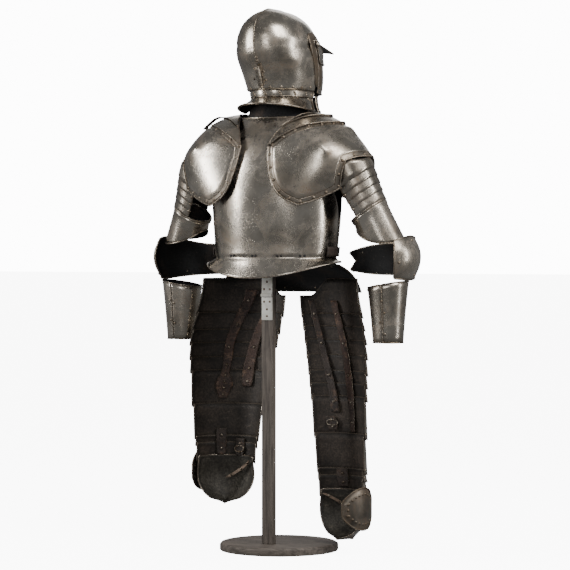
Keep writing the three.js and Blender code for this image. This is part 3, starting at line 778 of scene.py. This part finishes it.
for hand, side in (("left", 1), ("right", -1)):
    shoulder = centre((side * 0.15, 0, 0.94))
    elbow = (side * 0.3, -0.025, 0.742)
    upper = axis((side * 0.25, 0, 0.858), elbow)
    lower = axis(elbow, (side * 0.295, -0.02, 0.527))
    for part in ("lame_1", "lame_2", "main"):
        name = f"pauldron_{part}_{hand}"
        plate = Plate(name + "_shell", regained(name, shoulder), 3, banded=part == "main")
        if part == "main":
            plate.raised(BAND, 0.017, 0.0026)
        plate.bead(0.0024 if part == "main" else 0.0012)
        if part == "main":
            plate.rivets(plate.inset(0.0065, 0.034), 0.0042)
        plate.done("armour", name)

    def rear_inner(hit):
        return hit[0].y - 0.55 * side * hit[0].x - 0.2 * hit[0].z

    for k in range(1, 6):
        name = f"arm_lame_{k}_{hand}"
        plate = Plate(name + "_shell", regained(name, upper))
        plate.rivets([max(plate.inset(0.008, 0.004), key=rear_inner)], 0.0046, 0.8)
        plate.done("armour", name)
    plate = Plate(f"upper_cannon_{hand}_shell", regained(f"upper_cannon_{hand}", upper), 2)
    plate.bead(0.002)
    turner = max(plate.loops, key=lambda loop: sum(corner.z for corner in loop) / len(loop))
    turner = [spot for spot, _ in along(turner, 0.0016, True)]
    tube(plate.shape, turner, 0.0036, True, 8, OUTSIDE, roped)
    plate.done("armour", f"upper_cannon_{hand}")
    plate = Plate(f"couter_{hand}_shell", regained(f"couter_{hand}", lower), 3)
    plate.bead(0.0022)
    plate.rivets(plate.inset(0.012, 0.11), 0.004)
    plate.done(f"elbow_{hand}", f"couter_{hand}")
    for half in ("outer", "inner"):
        name = f"lower_cannon_{half}_{hand}"
        plate = Plate(name + "_shell", regained(name, lower), 2)
        plate.bead(0.0014)
        plate.rivets(plate.inset(0.006, 0.05, lambda spot: 0.545 < spot.z < 0.66), 0.0034)
        plate.done(f"forearm_{hand}", name)

# ---- Legs ----
# Long thigh defences of lames, brown-black inside, hung on leathers; the poleyn closes each leg
# to a rounded point and carries a kidney-shaped wing outside.

# The thigh's open back at a place from 0 (top) to 1 (knee): its middle, the opening's half
# width and the plates' depth before it, in mm.
THIGH = [
    (0, 117, -20, 113, 70),
    (0.25, 142, -13, 117, 67),
    (0.5, 152, -7, 104, 68),
    (0.76, 157, -3, 89, 72),
    (1, 161, -4, 76, 73),
]
# Each leg's side, and the heights of its top and of the thigh plates' hem, in mm.
LEGS = {"left": (1, 640, 213), "right": (-1, 640, 140)}
SPLAY = math.radians(28)
OUTER, INNER = 24, 178  # angles of the plates' edges


def leg_row(hand, z):
    _, top, hem = LEGS[hand]
    return section(THIGH, 0, min(max((top - z) / (top - hem), 0), 1))


def leg_spot(hand, z, angle, lift=0.0):
    """A point of a thigh in metres; angle 180 is the inner edge, 90 the front, 0 outside."""
    _, x, y, half, depth = leg_row(hand, z)
    a = math.radians(angle)
    out, ahead = (half + lift) * math.cos(a), (depth + lift) * math.sin(a)
    x += out * math.cos(SPLAY) + ahead * math.sin(SPLAY)
    y += out * math.sin(SPLAY) - ahead * math.cos(SPLAY)
    return Vector((LEGS[hand][0] * x, y, z)) / 1000


def leather(name, dark, light, worn, wear):
    """Old leather: fine grain, creases and rubbed places."""
    shader = Shader(name)
    cloud = shader.noise(13, 5, 0.65)
    grain = shader.cells(620).ramp(0.0, 0.6)
    crease = shader.noise(60, 5, 0.7, stretch=(1, 1, 2.4), distortion=0.8)
    rub = shader.noise(28, 6, 0.7).ramp(0.62 - 0.2 * wear, 0.8 - 0.15 * wear)
    tone = shader.blend(cloud.ramp(0.3, 0.7), dark, light)
    tone = shader.blend(rub, tone, worn)
    tone = shader.blend(crease.ramp(0.5, 0.36) * 0.6, tone, (0.008, 0.006, 0.005))
    return shader.finish(
        base_color=tone,
        roughness=0.62 - rub * 0.14 + crease * 0.1,
        normal=shader.bump(grain * 0.00022 + crease * 0.0012 - rub * 0.0002),
    )


LEATHER = leather("leather", (0.02, 0.014, 0.011), (0.05, 0.034, 0.025), (0.15, 0.085, 0.05), 0.5)


def sooty(name, dark, light, rubbed):
    """The legs' insides: grey-brown scale rubbed lighter in patches, painted shade near each rim,
    and a rim that is rubbed and painted lighter as a highlight.
    """
    shader = Shader(name)
    cloud = shader.noise(11, 6, 0.62)
    grain = shader.noise(190, 4, 0.65)
    scrape = shader.noise(34, 5, 0.7, stretch=(1, 1, 3)).ramp(0.56, 0.72)
    tone = shader.blend(cloud.ramp(0.3, 0.72), dark, light)
    tone = shader.blend(scrape * 0.5, tone, rubbed)
    tone = shader.blend(grain.ramp(0.6, 0.42) * 0.5, tone, (0.012, 0.01, 0.008))
    edge = shader.attribute("edge")
    # Painted shade: each lame's inside darkens from 16 mm in towards its rim, standing in for the
    # shadow where the lames overlap.
    tone = shader.blend(edge.ramp(0.016, 0.003) * 0.75, tone, (0.01, 0.008, 0.006))
    # Partly wear, partly painted highlight: the outermost 4.5 mm of each rim is lightened, more
    # where it is scraped.
    rubbed_and_lit_edge = edge.ramp(0.0045, 0.0015) * (0.25 + 0.6 * scrape)
    tone = shader.blend(rubbed_and_lit_edge, tone, (0.2, 0.15, 0.105))
    return shader.finish(
        base_color=tone,
        metallic=0.25,
        roughness=0.52 + grain * 0.2 - scrape * 0.1,
        normal=shader.bump(grain * 0.0004 + cloud * 0.0022 + scrape * 0.0003),
    )


SOOTY = sooty("thigh_inside", (0.02, 0.016, 0.0125), (0.088, 0.067, 0.051), (0.14, 0.105, 0.078))
GREYED = sooty("knee_inside", (0.045, 0.04, 0.031), (0.15, 0.135, 0.108), (0.23, 0.195, 0.15))
REDDISH = leather(
    "worn_leather", (0.03, 0.018, 0.013), (0.085, 0.048, 0.033), (0.22, 0.13, 0.08), 0.6
)
TAN = leather("tan_leather", (0.16, 0.11, 0.075), (0.3, 0.21, 0.15), (0.42, 0.32, 0.24), 0.6)

# The heights of each leg's top and of its lames' lower edges, in mm.
LAMES = {
    "left": (640, 588, 544, 510, 473, 439, 353, 270, 252, 213),
    "right": (640, 588, 556, 522, 484, 444, 412, 380, 287, 199, 181, 140),
}
LAP = 8
for hand in LEGS:
    edges = LAMES[hand]
    for k in range(len(edges) - 1):
        high, low = edges[k] + (LAP if k else 0), edges[k + 1]

        def point(u, v, depth):
            angle = OUTER + (INNER - OUTER) * u
            rise = 44 * (1 - min(max((angle - 126) / 24, 0), 1)) if k == 0 else 0
            sag = 4 * math.sin(math.pi * u) * (1 - v) + 5 * (1 - v) * max(0, 2 * u - 1) ** 6
            z = low - sag + (high + rise - low + sag) * v
            return leg_spot(hand, z, angle, -1000 * depth + 3.0 * (1 - v) - 2.4 * v)

        plate = Plate(f"thigh_lame_{k + 1}_{hand}", wall(point, 24, 3, 0.0018), 1)
        plate.bead(0.0011, kind=INSIDE)
        heads = []
        for angle in (OUTER + 5, INNER - 5):
            spot = leg_spot(hand, low + 12, angle, 8)
            heads.append(plate.tree.find_nearest(spot)[:2])
        plate.rivets(heads, 0.0036)
        made = plate.done("armour", inner=SOOTY)
        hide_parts("tasset_upper_" + hand if k < 5 else "tasset_lower_" + hand)


def leg_strap(name, hand, stops, finish, lift=-5.0, thickness=0.0024):
    """A leather inside a leg, through stops of (height, angle, width)."""

    def point(u, v, depth):
        z, angle, width = (eased([s[k] for s in stops], v * (len(stops) - 1)) for k in range(3))
        half = leg_row(hand, z)[3]
        sway = 0.9 * math.sin(z / 7.5)
        return leg_spot(hand, z, angle + (u - 0.5) * width * 57 / half, lift + sway - 1000 * depth)

    rows = max(8, round((stops[0][0] - stops[-1][0]) / 9))
    shape = smoothed(wall(point, 4, rows, thickness), 1)
    for k in range(len(stops) - 1):
        z, angle, _ = (0.5 * (stops[k][i] + stops[k + 1][i]) for i in range(3))
        spot = leg_spot(hand, z, angle, lift - 3.2)
        inward = spot - leg_spot(hand, z, angle, lift)
        dome(shape, spot, inward, 0.0036, 0.6, RIM)
    made = placed(name, shape, [finish, finish, RIVET])
    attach(made, "armour")
    return made


def ring(name, hand, z, angle, size, finish, lift=-8.0):
    """A buckle: a rounded oblong bar lying on a leather."""
    shape = bmesh.new()
    path = []
    for k in range(28):
        turn = 2 * math.pi * k / 28
        across = math.copysign(abs(math.cos(turn)) ** 0.7, math.cos(turn)) * size[0] / 2
        up = math.copysign(abs(math.sin(turn)) ** 0.7, math.sin(turn)) * size[1] / 2
        half = leg_row(hand, z)[3]
        path.append(leg_spot(hand, z + up, angle + across * 57 / half, lift))
    tube(shape, path, 0.0017, True, 8)
    made = placed(name, shape, [finish])
    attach(made, "armour")


# Leathers of the left leg: the middle one ends in a pear-shaped tab.
made = leg_strap("leather_middle_left", "left", [
    (652, 103, 33), (600, 97, 30), (529, 88, 27), (480, 87, 25), (440, 85, 24), (425, 84, 40),
    (408, 84, 50), (392, 83.5, 38), (374, 83, 22),
], REDDISH, -6.0)
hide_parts("thigh_leather_left")
leg_strap("leather_inner_left", "left", [
    (596, 133, 26), (540, 125, 30), (473, 121, 34), (430, 121, 36), (405, 122, 28),
], REDDISH)
leg_strap("leather_knee_left", "left", [(296, 82, 30), (260, 82, 30), (228, 82, 24)], LEATHER)
leg_strap("leather_tab_left", "left", [(270, 121, 26), (244, 121, 30), (226, 122, 24)], LEATHER)
ring("buckle_left", "left", 243, 121, (30, 15), RIVET)
ring("slot_left", "left", 648, 103, (38, 14), LEATHER, -7)

made = leg_strap("leather_inner_right", "right", [
    (628, 156, 24), (560, 150, 24), (480, 142, 26), (400, 134, 28), (346, 132, 30),
], LEATHER, -6.0)
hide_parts("thigh_leather_right")
leg_strap("leather_middle_right", "right", [
    (628, 114, 24), (560, 108, 24), (480, 102, 26), (400, 98, 28), (346, 97, 20), (299, 97, 17),
], REDDISH, -6.0)
leg_strap("leather_tab_right", "right", [(335, 143, 30), (318, 140, 36), (302, 139, 28)], LEATHER)
ring("buckle_right", "right", 320, 140, (36, 13), RIVET)
leg_strap("leather_knee_right", "right", [(205, 128, 34), (182, 127, 36), (160, 127, 28)], LEATHER)

for hand in LEGS:
    side, _, hem = LEGS[hand]
    middle = (side * 0.157, -0.02, 0)
    core = axis(middle, (*middle[:2], 1))
    plate = Plate(f"poleyn_{hand}_shell", regained(f"poleyn_{hand}", core), 2)
    plate.bead(0.0016)
    across = Vector((side * math.cos(SPLAY), math.sin(SPLAY), 0))
    low = min(corner.co.z for corner in plate.shape.verts)
    ends = [corner.co.dot(across) for corner in plate.shape.verts if corner.co.z < low + 0.004]
    for corner in plate.shape.verts:
        share = min(max((low + 0.014 - corner.co.z) / 0.012, 0), 0.85)
        corner.co -= across * (corner.co.dot(across) - sum(ends) / len(ends)) * share
    plate.done("armour", f"poleyn_{hand}", inner=GREYED)
    plate = Plate(f"poleyn_wing_{hand}_shell", regained(f"poleyn_wing_{hand}", core), 3, PITTED)
    plate.raised(0.006, 0.011, 0.002)
    plate.bead(0.0022)
    plate.rivets(plate.inset(0.015, 0.014), 0.0046, 0.75, OUTSIDE)
    plate.done("armour", f"poleyn_wing_{hand}")
    # The knee strap crosses behind from the inner edge to the wing.
    leg_strap(f"knee_strap_{hand}", hand, [
        (hem + 4, 176, 16), (hem - 10, 150, 18), (hem - 30, 118, 18), (hem - 44, 96, 17),
    ], TAN, -12)

# ---- Stand ----
# A turned foot, a lath post with a painted strap hinge, a shoulder board inside the trunk and
# a head block inside the helmet.


def timber(name, dark, light, stretch):
    """Grey weathered wood with its grain along one axis."""
    shader = Shader(name)
    grain = shader.noise(26, 6, 0.65, stretch=stretch, distortion=0.4)
    fine = shader.noise(160, 3, 0.6, stretch=stretch)
    tone = shader.blend(grain.ramp(0.32, 0.68), dark, light)
    tone = shader.blend(fine.ramp(0.6, 0.75) * 0.5, tone, dark)
    return shader.finish(
        base_color=tone,
        roughness=0.62 + fine * 0.2,
        normal=shader.bump(grain * 0.0008 + fine * 0.0002),
    )


UPRIGHT_WOOD = timber("wood_upright", (0.06, 0.048, 0.039), (0.15, 0.124, 0.103), (5, 5, 0.35))
FLAT_WOOD = timber("wood_flat", (0.06, 0.048, 0.039), (0.15, 0.124, 0.103), (0.5, 5, 5))
for node, finish, width in (
    ("stand_base", FLAT_WOOD, 0.002),
    ("stand_post", UPRIGHT_WOOD, 0.0015),
    ("stand_board", FLAT_WOOD, 0.002),
    ("stand_head", UPRIGHT_WOOD, 0.001),
):
    carried(node, width, finish, 3)


def painted():
    """Chipped white paint on an iron hinge."""
    shader = Shader("white_paint")
    cloud = shader.noise(40, 4, 0.6)
    chip = shader.noise(120, 5, 0.7).ramp(0.66, 0.7)
    tone = shader.blend(cloud.ramp(0.3, 0.7), (0.62, 0.59, 0.52), (0.78, 0.76, 0.7))
    tone = shader.blend(chip, tone, (0.2, 0.13, 0.08))
    return shader.finish(
        base_color=tone,
        roughness=0.5 + chip * 0.3,
        normal=shader.bump(cloud * 0.0004 - chip * 0.0003),
    )


PAINT = painted()
for node in ("hinge_leaf_upper", "hinge_leaf_lower"):
    carried(node, 0.0004, PAINT)
# The hinge's screws: heights from its pin and places to each side, in mm.
PIN = 0.643
SCREWS = ((50, 0), (34, 0), (15, -8), (15, 8), (-16, -8), (-16, 8), (-35, 0), (-52, 0))
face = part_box("hinge_leaf_lower")[1].y
shape = bmesh.new()
for z, x in SCREWS:
    spot = Vector((x / 1000, face, PIN + z / 1000))
    dome(shape, spot, Vector((0, 1, 0)), 0.003, 0.25, OUTSIDE)
made = placed("hinge_screws", shape, [RIVET])
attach(made, "armour")

# ---- Straps ----
# Black leather straps hold the back and breast together over the shoulders and at the sides.
# The left shoulder's strap has a long loose end.

for hand in ("left", "right"):
    for node in ("side_strap_", "shoulder_strap_"):
        shape = smoothed(four_sided(node + hand), 2)
        made = placed(node + hand + "_leather", shape, [LEATHER])
        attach(made, "armour")
        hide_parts(node + hand)

# The loose end's (x, z) places in metres.
TAIL = [(0.196, 1.066), (0.182, 1.078), (0.165, 1.09), (0.148, 1.095), (0.132, 1.09)]


def tail(u, v, depth):
    """The loose end of the left shoulder's strap, arched over the pauldron."""
    x, z = (eased([spot[k] for spot in TAIL], v * (len(TAIL) - 1)) for k in range(2))
    return Vector((x, 0.035 + 0.016 * (u - 0.5), z - depth))


made = placed("shoulder_strap_tail", smoothed(wall(tail, 3, 16, 0.0026), 1), [LEATHER])
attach(made, "armour")
